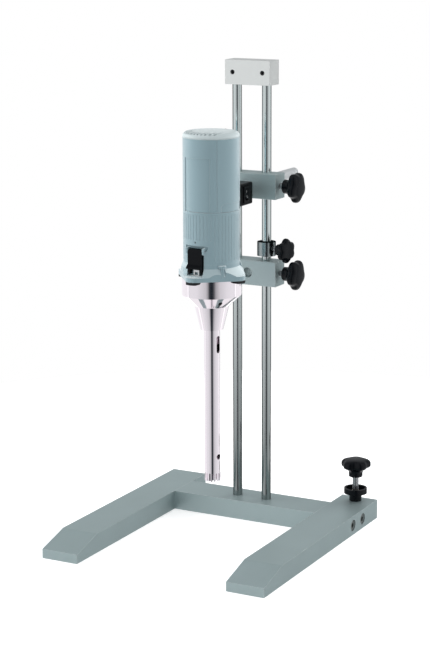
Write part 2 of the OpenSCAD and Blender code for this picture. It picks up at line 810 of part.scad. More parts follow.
post_a = 55.5;
post_ring_r = 36.2;
post_r = 2.3;
post_h = 11.4;
cap_nut_r = 5;
cap_nut_h = 3;
lock_hole_h = 42;
lock_hole_r = 1.2;
lock_hole_d = 4;
exhaust_h = fan_h + fan_w / 4;
exhaust_w = 2.4;
exhaust_l = 12;

module base_casing() {
    color("lightslategray") difference() {
        union() {
            on_face() flange_shape(flange_t);
            on_face(flange_t) intersection() {
                difference() {
                    rotate_extrude() polygon([[0, 0], [foot_ring_r, 0], [foot_ring_top_r, foot_ring_h],
                        [body_r, foot_ring_h + foot_shoulder_h], [body_r, casing_h], [0, casing_h]]);
                    translate([0, 0, -overrun]) difference() {
                        turned_sector(slope_start_turn, slope_end_turn,
                            foot_ring_h + foot_shoulder_h + 2 * overrun);
                        cylinder(r = body_r + running, h = casing_h);
                    }
                }
                flange_shape(casing_h);
            }
            on_face(flange_t) foot_slope(slope_start_turn - slope_lap, slope_wide_turn, slope_steep_r);
            on_face(flange_t) foot_slope(slope_wide_turn - slope_lap, slope_end_turn + slope_lap,
                slope_wide_r);
            on_drive(flange_t + casing_h - overrun) cylinder(r = cavity_r - seat, h = lip_h + overrun);
        }
        on_drive(-overrun) cylinder(r = spigot_r + seat, h = lower_cavity_h + overrun);
        on_drive(web_top_h) difference() {
            cylinder(r = cavity_r - body_wall, h = casing_h);
            for (a = [45:90:315]) rotate([0, 0, a]) translate([0, -boss_ring_r, -overrun])
                cylinder(r = boss_r, h = casing_h);
        }
        on_drive(lower_cavity_h - overrun) cylinder(r = lower_bearing_r * 0.8,
            h = bearing_shoulder + 2 * overrun);
        on_drive(lower_bearing_h) cylinder(r = lower_bearing_r + seat, h = lower_bearing_w + overrun);
        for (i = [0:rib_count - 1]) let (a = (i + 0.5) * 360 / rib_count, front = abs(a - 180) > 142,
            low = front ? rib_front_low_h : rib_low_h)
            on_face(flange_t + low) rotate([0, 0, a]) translate([0, -body_r - rib_out, 0])
                cylinder(r = rib_r, h = rib_top_h - low);
        on_face(flange_t) rotate([90, 0, 0]) translate([0, 0, lever_flat]) linear_extrude(body_r)
            polygon([[-pocket_wide / 2, pocket_side_h], [-pocket_wide / 2, pocket_top_h],
                [pocket_wide / 2, pocket_top_h], [pocket_wide / 2, pocket_side_h],
                [pocket_narrow / 2, pocket_slant_h], [pocket_narrow / 2, pocket_floor],
                [-pocket_narrow / 2, pocket_floor], [-pocket_narrow / 2, pocket_slant_h]]);
        on_face(flange_t + lock_hole_h) rotate([90, 0, 0]) translate([0, 0, body_r - lock_hole_d])
            cylinder(r = lock_hole_r, h = lock_hole_d + overrun);
        for (i = [-3:3]) on_drive(exhaust_h) rotate([0, 0, 180 + i * 12])
            translate([-exhaust_w / 2, -body_r - overrun, -exhaust_l / 2])
            cube([exhaust_w, body_wall * 2 + 2 * overrun, exhaust_l]);
        for (a = [45:90:315]) on_drive() rotate([0, 0, a]) translate([0, -boss_ring_r, web_top_h])
            cylinder(r = boss_screw_r + seat, h = casing_h);
        for (i = [0:3]) on_face(-overrun) rotate([0, 0, i * 90]) translate([0, -pad_screw_ring_r, 0])
            cylinder(r = pad_screw_r + seat, h = flange_t);
    }
    color("lightslategray") {
        for (s = [-1, 1]) difference() {
            on_face(flange_t) translate([s * (lever_w / 2 + lever_gap + ear_t / 2) - ear_t / 2, 0, 0])
                rotate([90, 0, 90]) linear_extrude(ear_t)
                    polygon([[-lever_flat + overrun, pocket_side_h], [-ear_reach, pocket_side_h],
                        [-ear_reach, lever_hinge_h - lever_pin_r * 2.4],
                        [-lever_flat + overrun, pocket_slant_h - overrun * 2]]);
            on_face(flange_t + lever_hinge_h) translate([-lever_w, -lever_axis, 0]) along_x()
                cylinder(r = lever_pin_r + seat, h = lever_w * 2);
        }
        on_face(flange_t) rotate([0, 0, post_a]) translate([0, -post_ring_r, 0]) {
            cylinder(r = post_r, h = post_h);
            translate([0, 0, post_h - seam]) cylinder(r = cap_nut_r, h = cap_nut_h);
        }
    }
}

pad_t = 3.4;
pad_w = 15;
pad_screw_ring_r = 42.5;
pad_screw_r = 1.5;
pad_screw_head_r = 2.8;

module corner_pads() {
    color("black") on_face(-pad_t) difference() {
        intersection() {
            flange_shape(pad_t);
            for (a = [0, 90]) rotate([0, 0, a]) translate([-pad_w / 2, -flange_w, -overrun])
                cube([pad_w, flange_w * 2, pad_t + 2 * overrun]);
        }
        translate([0, 0, -overrun]) cylinder(r = adapter_r + seat * 5, h = pad_t + 2 * overrun);
        for (i = [0:3]) rotate([0, 0, i * 90]) translate([0, -pad_screw_ring_r, -overrun]) {
            cylinder(r = pad_screw_r + seat, h = pad_t + 2 * overrun);
            cylinder(r = pad_screw_head_r + seat, h = pad_t / 2 + overrun);
        }
    }
}

module pad_screws() {
    color("silver") on_face(-pad_t / 2) for (i = [0:3]) rotate([0, 0, i * 90])
        translate([0, -pad_screw_ring_r, 0])
        rotate([180, 0, 0]) socket_screw(pad_screw_r, flange_t, pad_screw_head_r, pad_t / 2 - seat);
}

module housing_screws() {
    color("silver") for (a = [45:90:315]) on_drive(boss_top_h) rotate([0, 0, a])
        translate([0, -boss_ring_r, 0])
        socket_screw(boss_screw_r, boss_top_h - web_top_h, boss_screw_head_r, boss_screw_head_r);
}

// Clamp lever

lever_axis = 33.6;
lever_top = 3.3;
lever_lip_h = 10.6;
lever_lip_reach = 40.5;
lever_round = 5;
lever_leg_h = 3;
lever_leg_t = 3.2;
catch_w = 8.4;
catch_h = 8;
catch_t = 3;

module clamp_lever() {
    back = lever_flat + lever_gap;
    front = back + lever_t;
    top = lever_hinge_h + lever_top;
    side = lever_w / 2;
    color("black") difference() {
        on_face(flange_t) intersection() {
            union() {
                translate([-side, 0, 0]) rotate([90, 0, 90]) linear_extrude(lever_w) polygon(concat(
                    [[-back, lever_lip_h], [-lever_lip_reach, lever_lip_h - overrun],
                        [-lever_lip_reach, lever_lip_h + overrun], [-front, lever_lip_h + lever_t * 0.7],
                        [-front, lever_hinge_h]],
                    arc(-lever_axis, lever_hinge_h, lever_top, 180, 0, 8),
                    [[-back, lever_hinge_h - overrun]]));
                for (s = [-1, 1]) translate([s * (side - lever_leg_t / 2) - lever_leg_t / 2, 0, 0])
                    rotate([90, 0, 90]) linear_extrude(lever_leg_t)
                        polygon([[-back, lever_lip_h + overrun], [-front, lever_lip_h + overrun],
                            [-front + overrun, lever_leg_h], [-back - overrun, lever_leg_h]]);
            }
            rotate([90, 0, 0]) linear_extrude(lever_lip_reach + overrun) polygon(concat(
                [[-side - overrun, 0], [side + overrun, 0], [side + overrun, top - lever_round * 1.5]],
                arc(side - lever_round, top - lever_round, lever_round, 0, 90, 5),
                arc(lever_round - side, top - lever_round, lever_round, 90, 180, 5),
                [[-side - overrun, top - lever_round * 1.5]]));
        }
        on_face(flange_t + lever_hinge_h) translate([-lever_w, -lever_axis, 0]) along_x()
            cylinder(r = lever_pin_r + running, h = lever_w * 2);
    }
}

module lever_pin() {
    l = lever_w + 2 * lever_gap + 2 * ear_t;
    color("silver") on_face(flange_t + lever_hinge_h) translate([-l / 2, -lever_axis, 0]) along_x()
        cylinder(r = lever_pin_r, h = l);
}

module lever_catch() {
    color("gainsboro") on_face(flange_t + pocket_floor) difference() {
        translate([-catch_w / 2, -lever_flat - catch_t, 0]) cube([catch_w, catch_t, catch_h]);
        translate([-catch_w / 4, -lever_flat - catch_t * 2, catch_h * 0.15])
            cube([catch_w / 2, catch_t * 3, catch_h * 0.4]);
    }
}

// Motor inside the housing

module field_stator() {
    color("gray") on_drive(core_h) difference() {
        cylinder(r = cavity_r - running, h = core_w);
        translate([0, 0, -overrun]) cylinder(r = field_bore_r, h = core_w + 2 * overrun);
        for (a = [45:90:315]) rotate([0, 0, a]) translate([0, -boss_ring_r, -overrun])
            cylinder(r = boss_r + air, h = core_w + 2 * overrun);
        for (s = [-1, 1]) translate([s * field_bore_r, 0, core_w / 2])
            cube([field_bore_r * 0.9, field_bore_r * 1.2, core_w + 2 * overrun], center = true);
    }
}

module field_coils() {
    color("peru") for (s = [-1, 1]) on_drive(core_h - end_turn_w) difference() {
        translate([s * field_bore_r * 1.22, 0, 0]) translate([-field_bore_r * 0.2, -field_bore_r * 0.55, 0])
            cube([field_bore_r * 0.42, field_bore_r * 1.1, core_w + 2 * end_turn_w]);
        translate([0, 0, -overrun]) cylinder(r = field_bore_r + running, h = core_w * 2);
    }
}

armature_slots = 12;

module armature() {
    color("dimgray") on_drive(core_h) difference() {
        union() {
            cylinder(r = core_r, h = core_w);
            translate([0, 0, -end_turn_w]) cylinder(r = core_r * 0.86, h = core_w + 2 * end_turn_w);
        }
        translate([0, 0, -end_turn_w - overrun]) cylinder(r = shaft_r + seat,
            h = core_w + 2 * end_turn_w + 2 * overrun);
        for (i = [0:armature_slots - 1]) rotate([0, 0, i * 360 / armature_slots])
            translate([-core_r * 0.05, core_r * 0.88, -overrun])
                cube([core_r * 0.1, core_r * 0.2, core_w + 2 * overrun]);
    }
}

commutator_bars = 24;

module commutator() {
    color("peru") on_drive(commutator_h) difference() {
        cylinder(r = commutator_r, h = commutator_w);
        translate([0, 0, -overrun]) cylinder(r = shaft_r + seat, h = commutator_w + 2 * overrun);
        for (i = [0:commutator_bars - 1]) rotate([0, 0, i * 360 / commutator_bars])
            translate([-line_w / 4, commutator_r - line_w, -overrun])
                cube([line_w / 2, line_w * 2, commutator_w + 2 * overrun]);
    }
}

module on_brush(s) {
    on_drive(brush_h) rotate([0, 0, 90 + s * 90]) rotate([90, 0, 0]) children();
}

module brush_holders() {
    outer = cavity_r - running;
    inner = commutator_r + holder_wall * 1.5;
    color("goldenrod") for (s = [-1, 1]) on_brush(s) difference() {
        translate([-brush_w / 2 - holder_wall, -brush_t / 2 - holder_wall, inner])
            cube([brush_w + 2 * holder_wall, brush_t + 2 * holder_wall, outer * 0.985 - inner]);
        translate([-brush_w / 2 - running, -brush_t / 2 - running, 0])
            cube([brush_w + 2 * running, brush_t + 2 * running, outer - holder_wall * 2]);
    }
}

module carbon_brushes() {
    color("black") for (s = [-1, 1]) on_brush(s) translate([-brush_w / 2, -brush_t / 2, commutator_r + air])
        cube([brush_w, brush_t, brush_l]);
}

module motor_shaft() {
    top = upper_bearing_h + upper_bearing_w;
    step = commutator_h + commutator_w + overrun;
    color("silver") on_drive() rotate_extrude() polygon([[0, shaft_low_h], [shaft_r, shaft_low_h],
        [shaft_r, step], [shaft_top_r, step], [shaft_top_r, top], [0, top]]);
}

fan_blades = 9;

module cooling_fan() {
    color("black") on_drive(fan_h) difference() {
        union() {
            cylinder(r = fan_r, h = fan_w * 0.2);
            cylinder(r = shaft_r * 1.7, h = fan_w);
            for (i = [0:fan_blades - 1]) rotate([0, 0, i * 360 / fan_blades])
                translate([shaft_r * 1.5, -line_w, 0])
                    cube([fan_r * 0.95 - shaft_r * 1.5, line_w * 2.4, fan_w]);
        }
        translate([0, 0, -overrun]) cylinder(r = shaft_r + seat, h = fan_w + 2 * overrun);
    }
}

// A shielded ball bearing: its two rings, with the shields set back between them
module bearing(r_out, r_in, w) {
    mid = (r_out + r_in) / 2;
    race = (r_out - r_in) * 0.12;
    ring(r_out, mid + race, w);
    ring(mid - race, r_in, w);
    translate([0, 0, w * 0.15]) ring(mid + race * 1.2, mid - race * 1.2, w * 0.7);
}

module upper_bearing() {
    color("silver") on_drive(upper_bearing_h) bearing(upper_bearing_r, shaft_top_r + running,
        upper_bearing_w);
}

module lower_bearing() {
    color("silver") on_drive(lower_bearing_h) bearing(lower_bearing_r, shaft_r + running, lower_bearing_w);
}

module coupling() {
    color("firebrick") on_drive(coupling_h) difference() {
        cylinder(r = coupling_r, h = coupling_w);
        translate([0, 0, shaft_low_h - coupling_h - overrun]) cylinder(r = shaft_r + seat, h = coupling_w);
        translate([0, 0, -overrun]) cylinder(r = drive_shaft_r + seat, h = coupling_w);
        for (a = [0:60:300]) rotate([0, 0, a]) translate([coupling_r, 0, -overrun])
            cylinder(r = coupling_r * 0.16, h = coupling_w + 2 * overrun);
    }
}

// Adapter and dispersing generator

set_screw_turn = 49;
grub_r = 2.5;
grub_l = 8;
grub_h = -29;
grub_ring_r = 30.4;
nose_bore_h = 26;

module adapter_cone() {
    cone_z = -adapter_rim_h - adapter_cone_h;
    end_z = cone_z - adapter_nose_h;
    color("gainsboro") on_drive() difference() {
        rotate_extrude() polygon([[0, spigot_h], [spigot_r, spigot_h], [spigot_r, 0], [adapter_r, 0],
            [adapter_r, -adapter_rim_h], [nose_top_r, cone_z], [nose_tip_r, end_z], [0, end_z]]);
        translate([0, 0, end_z + nose_bore_h]) cylinder(r = adapter_bore_r, h = adapter_rim_h * 4);
        translate([0, 0, end_z - overrun]) cylinder(r = tube_r + seat, h = nose_bore_h + 2 * overrun);
        translate([0, 0, grub_h]) rotate([0, 0, set_screw_turn]) rotate([90, 0, 0])
            cylinder(r = grub_r + seat, h = body_r * 2);
    }
}

module adapter_set_screw() {
    color("dimgray") on_drive(grub_h) rotate([0, 0, set_screw_turn]) rotate([90, 0, 0])
        translate([0, 0, grub_ring_r - grub_l - overrun * 2.6])
            socket_head(grub_r, grub_l, grub_r * 0.55, grub_l * 0.4);
}

port_turn = 80;
slot_w = 6;
slot_l = 22;
slot_drop = 8;
port_r = 3.5;
port_lift = 31.7;
head_h = 14;
head_spigot_h = 9;
bush_h = 8;
bush_lower_lift = 46;

// The side openings of the tube: a long slot near its top and a round port near its foot
module generator_tube() {
    inner_r = tube_r - tube_wall;
    top_z = adapter_bottom_z + nose_bore_h;
    color("gainsboro") difference() {
        translate([0, -drive_reach, tip_z + head_h]) ring(tube_r, inner_r, top_z - tip_z - head_h);
        translate([0, -drive_reach, adapter_bottom_z - slot_drop - slot_l])
            rotate([0, 0, port_turn]) rotate([90, 0, 0]) {
                for (y = [slot_w / 2, slot_l - slot_w / 2]) translate([0, y, 0])
                    cylinder(r = slot_w / 2, h = tube_r * 2);
                translate([-slot_w / 2, slot_w / 2, 0]) cube([slot_w, slot_l - slot_w, tube_r * 2]);
            }
        translate([0, -drive_reach, tip_z + port_lift]) rotate([0, 0, port_turn]) rotate([90, 0, 0])
            cylinder(r = port_r, h = tube_r * 2);
    }
}

module stator_head() {
    inner_r = tube_r - tube_wall;
    head_wall = 1.7;
    color("gainsboro") translate([0, -drive_reach, tip_z]) difference() {
        union() {
            cylinder(r = tube_r, h = head_h);
            cylinder(r = inner_r - seat, h = head_h + head_spigot_h);
        }
        translate([0, 0, -overrun]) cylinder(r = inner_r - head_wall,
            h = head_h + head_spigot_h + 2 * overrun);
        translate([0, 0, -overrun]) cylinder(r = tube_r - head_wall, h = stator_slot_h + overrun * 1.5);
        for (i = [0:stator_slots - 1]) rotate([0, 0, port_turn + i * 360 / stator_slots])
            translate([-tube_r * 0.08, -tube_r - overrun, -overrun])
                cube([tube_r * 0.16, tube_r, stator_slot_h + overrun]);
    }
}

rotor_gap = 0.5;
rotor_h = 10;
rotor_arms = 4;

module rotor_head() {
    head_wall = 1.7;
    r = tube_r - head_wall - rotor_gap;
    color("silver") translate([0, -drive_reach, tip_z + air]) difference() {
        union() {
            cylinder(r = drive_shaft_r * 1.5, h = rotor_h);
            for (i = [0:rotor_arms - 1]) rotate([0, 0, i * 360 / rotor_arms]) intersection() {
                translate([-tube_r * 0.13, 0, 0]) cube([tube_r * 0.26, tube_r, rotor_h]);
                cylinder(r = r, h = rotor_h);
            }
        }
        translate([0, 0, rotor_h * 0.25]) cylinder(r = drive_shaft_r + seat, h = rotor_h);
    }
}

module drive_shaft() {
    low = tip_z + air + rotor_h * 0.25 + seat;
    high = flange_z + shaft_low_h - overrun * 1.5;
    color("silver") translate([0, -drive_reach, low]) cylinder(r = drive_shaft_r, h = high - low);
}

module guide_bushes() {
    inner_r = tube_r - tube_wall;
    color("white") for (z = [tip_z + bush_lower_lift, adapter_bottom_z + nose_bore_h - bush_h])
        translate([0, -drive_reach, z]) ring(inner_r - seat, drive_shaft_r + running, bush_h);
}

left_leg();
right_leg();
crossbar();
leg_screws();
left_column();
right_column();
column_screws();
top_block();
top_set_screws();
levelling_stud();
levelling_knob();
lock_nut();
lock_nut_insert();
upper_clamp_block();
upper_clamp_stud();
upper_clamp_knob();
rod_lock_screw();
lower_clamp_block();
lower_clamp_stud();
lower_clamp_knob();
lower_lock_screw();
stop_collar();
collar_stud();
collar_knob();
support_rod();
rod_bracket();
bracket_screws();
bracket_grub_screw();
switch_bezel();
switch_rocker();
motor_housing();
vent_cap();
speed_dial();
cord_gland();
base_casing();
corner_pads();
pad_screws();
housing_screws();
clamp_lever();
lever_pin();
lever_catch();
field_stator();
field_coils();
armature();
commutator();
brush_holders();
carbon_brushes();
motor_shaft();
cooling_fan();
upper_bearing();
lower_bearing();
coupling();
adapter_cone();
adapter_set_screw();
generator_tube();
stator_head();
drive_shaft();
rotor_head();
guide_bushes();
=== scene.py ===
import math

import bmesh
import bpy
from mathutils import Matrix, Vector


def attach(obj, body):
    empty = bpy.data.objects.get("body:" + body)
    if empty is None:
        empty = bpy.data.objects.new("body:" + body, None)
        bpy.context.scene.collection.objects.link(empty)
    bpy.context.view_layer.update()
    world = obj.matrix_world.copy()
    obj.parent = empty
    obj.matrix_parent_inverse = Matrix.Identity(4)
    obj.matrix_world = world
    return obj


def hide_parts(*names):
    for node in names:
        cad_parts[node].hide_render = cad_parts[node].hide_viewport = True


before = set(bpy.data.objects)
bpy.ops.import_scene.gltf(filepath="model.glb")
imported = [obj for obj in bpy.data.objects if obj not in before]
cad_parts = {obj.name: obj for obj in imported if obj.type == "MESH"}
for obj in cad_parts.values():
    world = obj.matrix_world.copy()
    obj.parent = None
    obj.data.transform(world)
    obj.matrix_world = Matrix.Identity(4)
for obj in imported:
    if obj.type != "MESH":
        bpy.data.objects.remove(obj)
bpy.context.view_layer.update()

# The photographer's camera: a long lens a little above the drive, to the right of the stand's
# front, aimed at the middle of the columns.
camera_place = Vector((1.0848, -2.1380, 0.7886))
camera_aim = Vector((-0.00257, -0.0374, 0.300))
camera_roll = -0.0017
camera_data = bpy.data.cameras.new("camera")
camera_data.lens = 105.7
camera_data.shift_x = -0.0339
camera_data.shift_y = -0.0389
camera = bpy.data.objects.new("camera", camera_data)
bpy.context.scene.collection.objects.link(camera)
looking = (camera_aim - camera_place).to_track_quat("-Z", "Y").to_matrix().to_4x4()
rolled = Matrix.Rotation(camera_roll, 4, "Z")
camera.matrix_world = Matrix.Translation(camera_place) @ looking @ rolled
bpy.context.scene.camera = camera

# The studio: light screens at both sides of a grey room, and a dark end where the photographer
# stands. Polished steel shows it as light flanks with grey edges and one dark line, and what slopes
# under the drive shows the white table. Other surfaces get an even light from it.
bpy.context.scene.view_settings.view_transform = "Standard"


def plug(tree, value, socket):
    if isinstance(value, bpy.types.NodeSocket):
        tree.links.new(value, socket)
    else:
        socket.default_value = value


def math_step(tree, operation, *values):
    step = tree.nodes.new("ShaderNodeMath")
    step.operation = operation
    for value, socket in zip(values, step.inputs):
        plug(tree, value, socket)
    return step.outputs[0]


def vector_step(tree, operation, first, second):
    step = tree.nodes.new("ShaderNodeVectorMath")
    step.operation = operation
    plug(tree, first, step.inputs[0])
    plug(tree, second, step.inputs["Scale" if operation == "SCALE" else 1])
    return step.outputs["Value" if operation == "DOT_PRODUCT" else 0]


def range_step(tree, value, start, end, first=0.0, last=1.0, curve="LINEAR"):
    step = tree.nodes.new("ShaderNodeMapRange")
    step.interpolation_type = curve
    step.inputs["From Min"].default_value = start
    step.inputs["From Max"].default_value = end
    step.inputs["To Min"].default_value = first
    step.inputs["To Max"].default_value = last
    plug(tree, value, step.inputs["Value"])
    return step.outputs["Result"]


def color_mix(tree, share, first, second):
    step = tree.nodes.new("ShaderNodeMix")
    step.data_type = "RGBA"
    plug(tree, share, step.inputs[0])
    plug(tree, first, step.inputs[6])
    plug(tree, second, step.inputs[7])
    return step.outputs[2]


def shader_mix(tree, share, first, second):
    step = tree.nodes.new("ShaderNodeMixShader")
    plug(tree, share, step.inputs["Fac"])
    plug(tree, first, step.inputs[1])
    plug(tree, second, step.inputs[2])
    return step.outputs[0]


def split_step(tree, vector):
    step = tree.nodes.new("ShaderNodeSeparateXYZ")
    plug(tree, vector, step.inputs[0])
    return step.outputs


def background(tree, color, strength):
    step = tree.nodes.new("ShaderNodeBackground")
    plug(tree, color, step.inputs["Color"])
    plug(tree, strength, step.inputs["Strength"])
    return step.outputs[0]


studio = bpy.data.worlds.new("studio")
bpy.context.scene.world = studio
studio.use_nodes = True
room = studio.node_tree
room.nodes.clear()
drive_axis = Vector((0, -0.11, 0))
to_camera = Vector((camera_place.x, camera_place.y - drive_axis.y, 0)).normalized()
to_right = Vector((-to_camera.y, to_camera.x, 0))
direction = room.nodes.new("ShaderNodeTexCoord").outputs["Generated"]
ahead = vector_step(room, "DOT_PRODUCT", direction, to_camera)
across = vector_step(room, "DOT_PRODUCT", direction, to_right)
height = split_step(room, direction)["Z"]
bearing = math_step(room, "ARCTAN2", across, ahead)
wall = room.nodes.new("ShaderNodeValToRGB")
plug(room, range_step(room, bearing, -math.pi, math.pi), wall.inputs["Fac"])
stops = wall.color_ramp.elements
for stop, place in zip(stops, (0, 1)):
    stop.position = place
    stop.color = (0.42, 0.43, 0.44, 1)
# bearing in degrees to the right of the camera's, and how light the wall is there
for degrees, shade in (
    (-150, 0.36),
    (-107, 0.32),
    (-99, 0.78),
    (-86, 0.82),
    (-60, 0.80),
    (-42, 0.70),
    (-23, 0.58),
    (-15, 0.34),
    (-9, 0.03),
    (2, 0.01),
    (9, 0.10),
    (16, 0.38),
    (31, 0.62),
    (60, 0.78),
    (86, 0.84),
    (99, 0.80),
    (107, 0.32),
    (150, 0.36),
):
    stop = stops.new((degrees + 180) / 360)
    stop.color = (shade, min(1, shade * 1.01 + 0.006), min(1, shade * 1.02 + 0.012), 1)
below = range_step(room, height, -0.45, -0.55)
not_in_front = range_step(room, ahead, 0.30, 0.10)
table_share = math_step(room, "MULTIPLY", below, not_in_front)
mirrored = color_mix(room, table_share, wall.outputs["Color"], (0.93, 0.93, 0.94, 1))
mirrored_room = background(room, mirrored, 1.0)
even_room = background(room, (0.97, 0.99, 1, 1), range_step(room, height, 0, 1, 0.88, 0.56))
white_room = background(room, (1, 1, 1, 1), 1.0)
rays = room.nodes.new("ShaderNodeLightPath").outputs
lit = shader_mix(room, rays["Is Glossy Ray"], even_room, mirrored_room)
seen = math_step(room, "MAXIMUM", rays["Is Camera Ray"], rays["Is Transmission Ray"])
room_out = room.nodes.new("ShaderNodeOutputWorld")
plug(room, shader_mix(room, seen, lit, white_room), room_out.inputs["Surface"])

# The table: a round sheet of white paper, lit from below as a light table is, that keeps the
# object's shadow. Polished steel is shown the room's own white table instead.
bpy.ops.object.select_all(action="DESELECT")
bpy.ops.mesh.primitive_circle_add(
    vertices=96, radius=0.85, fill_type="NGON", location=(0, -0.06, 0)
)
bpy.ops.object.transform_apply(location=True)
floor = bpy.context.object
floor.name = "studio_floor"
floor.visible_glossy = False
paper = bpy.data.materials.new("white_paper")
paper.use_nodes = True
sheet = paper.node_tree
sheet.nodes.clear()
sheet_diffuse = sheet.nodes.new("ShaderNodeBsdfDiffuse")
sheet_diffuse.inputs["Color"].default_value = (0.82, 0.82, 0.82, 1)
sheet_glow = sheet.nodes.new("ShaderNodeEmission")
sheet_rays = sheet.nodes.new("ShaderNodeLightPath").outputs
glow_strength = math_step(sheet, "MULTIPLY", sheet_rays["Is Camera Ray"], 0.46)
plug(sheet, glow_strength, sheet_glow.inputs["Strength"])
sheet_sum = sheet.nodes.new("ShaderNodeAddShader")
plug(sheet, sheet_diffuse.outputs[0], sheet_sum.inputs[0])
plug(sheet, sheet_glow.outputs[0], sheet_sum.inputs[1])
sheet_out = sheet.nodes.new("ShaderNodeOutputMaterial")
plug(sheet, sheet_sum.outputs[0], sheet_out.inputs["Surface"])
floor.data.materials.append(paper)


# Two large soft lamps a little behind the object's flanks, and weaker ones overhead and in front:
# its sides are light and its middle is plain. They don't show in the steel.
def area_lamp(name, place, aim, width, length, power):
    data = bpy.data.lights.new(name, "AREA")
    data.shape = "RECTANGLE"
    data.size = width
    data.size_y = length
    data.energy = power
    lamp = bpy.data.objects.new(name, data)
    bpy.context.scene.collection.objects.link(lamp)
    turn = (Vector(aim) - Vector(place)).to_track_quat("-Z", "Y").to_matrix().to_4x4()
    lamp.matrix_world = Matrix.Translation(place) @ turn
    return lamp


object_middle = (0, -0.06, 0.28)
for name, place, size, power in (
    ("left_lamp", (-2.4, -0.55, 0.9), 1.4, 48),
    ("right_lamp", (1.1, 2.1, 0.9), 1.4, 48),
    ("top_lamp", (0.1, -0.4, 2.6), 1.8, 13),
    ("fill_lamp", (1.13, -2.2, 0.5), 1.2, 4),
):
    area_lamp(name, place, object_middle, size, size, power).visible_glossy = False

# The foot: two flat bars with bevelled noses and a crossbar, all sawn and milled from aluminium,
# then blasted and anodised grey. Black cap screws through the bars hold it together.


def effect_group(name, inputs, outputs):
    group = bpy.data.node_groups.new(name, "ShaderNodeTree")
    for label, kind, value in inputs:
        socket = group.interface.new_socket(label, in_out="INPUT", socket_type=kind)
        socket.default_value = value
    for label, kind in outputs:
        group.interface.new_socket(label, in_out="OUTPUT", socket_type=kind)
    given = group.nodes.new("NodeGroupInput").outputs
    wanted = group.nodes.new("NodeGroupOutput").inputs
    return group, given, wanted


# fine_grain: a fine texture that may be stretched into brush marks, under a broad, faint mottling
grain, grain_in, grain_out = effect_group(
    "fine_grain",
    (
        ("Color", "NodeSocketColor", (0.5, 0.5, 0.5, 1)),
        ("Roughness", "NodeSocketFloat", 0.4),
        ("Size", "NodeSocketFloat", 1500.0),
        ("Stretch", "NodeSocketVector", (1, 1, 1)),
        ("Mottle", "NodeSocketFloat", 0.04),
        ("Relief", "NodeSocketFloat", 0.05),
    ),
    (
        ("Color", "NodeSocketColor"),
        ("Roughness", "NodeSocketFloat"),
        ("Height", "NodeSocketFloat"),
    ),
)
grain_place = grain.nodes.new("ShaderNodeTexCoord").outputs["Object"]
grain_stretched = vector_step(grain, "MULTIPLY", grain_place, grain_in["Stretch"])
grain_fine = grain.nodes.new("ShaderNodeTexNoise")
grain_fine.inputs["Detail"].default_value = 3
plug(grain, grain_stretched, grain_fine.inputs["Vector"])
plug(grain, grain_in["Size"], grain_fine.inputs["Scale"])
grain_broad = grain.nodes.new("ShaderNodeTexNoise")
grain_broad.inputs["Scale"].default_value = 22
grain_broad.inputs["Detail"].default_value = 4
plug(grain, grain_place, grain_broad.inputs["Vector"])
grain_both = math_step(grain, "ADD", grain_fine.outputs["Fac"], grain_broad.outputs["Fac"])
grain_swing = math_step(grain, "SUBTRACT", grain_both, 1.0)
grain_amount = math_step(grain, "MULTIPLY_ADD", grain_swing, grain_in["Mottle"], 1.0)
grain_color = vector_step(grain, "SCALE", grain_in["Color"], grain_amount)
grain_rough = math_step(grain, "MULTIPLY", grain_in["Roughness"], grain_amount)
grain_height = math_step(grain, "MULTIPLY", grain_fine.outputs["Fac"], grain_in["Relief"])
plug(grain, grain_color, grain_out["Color"])
plug(grain, grain_rough, grain_out["Roughness"])
plug(grain, grain_height, grain_out["Height"])

# worn_and_highlit_edge: lightens the edges of a machined or cast piece, partly worn finish and
# partly a painted highlight
wear_glint, wear_glint_in, wear_glint_out = effect_group(
    "worn_and_highlit_edge",
    (
        ("Color", "NodeSocketColor", (0.5, 0.5, 0.5, 1)),
        ("Edge Color", "NodeSocketColor", (0.8, 0.8, 0.8, 1)),
        ("Strength", "NodeSocketFloat", 1.0),
    ),
    (("Color", "NodeSocketColor"),),
)
wear_glint_round = wear_glint.nodes.new("ShaderNodeBevel")
wear_glint_round.samples = 6
wear_glint_round.inputs["Radius"].default_value = 0.0011
wear_glint_normal = wear_glint.nodes.new("ShaderNodeNewGeometry").outputs["Normal"]
wear_glint_same = vector_step(wear_glint, "DOT_PRODUCT", wear_glint_round.outputs["Normal"], wear_glint_normal)
wear_glint_turned = math_step(wear_glint, "SUBTRACT", 1.0, wear_glint_same)
wear_glint_mask = range_step(wear_glint, wear_glint_turned, 0.02, 0.25)
wear_glint_share = math_step(wear_glint, "MULTIPLY", wear_glint_mask, wear_glint_in["Strength"])
wear_glint_color = color_mix(wear_glint, wear_glint_share, wear_glint_in["Color"], wear_glint_in["Edge Color"])
plug(wear_glint, wear_glint_color, wear_glint_out["Color"])


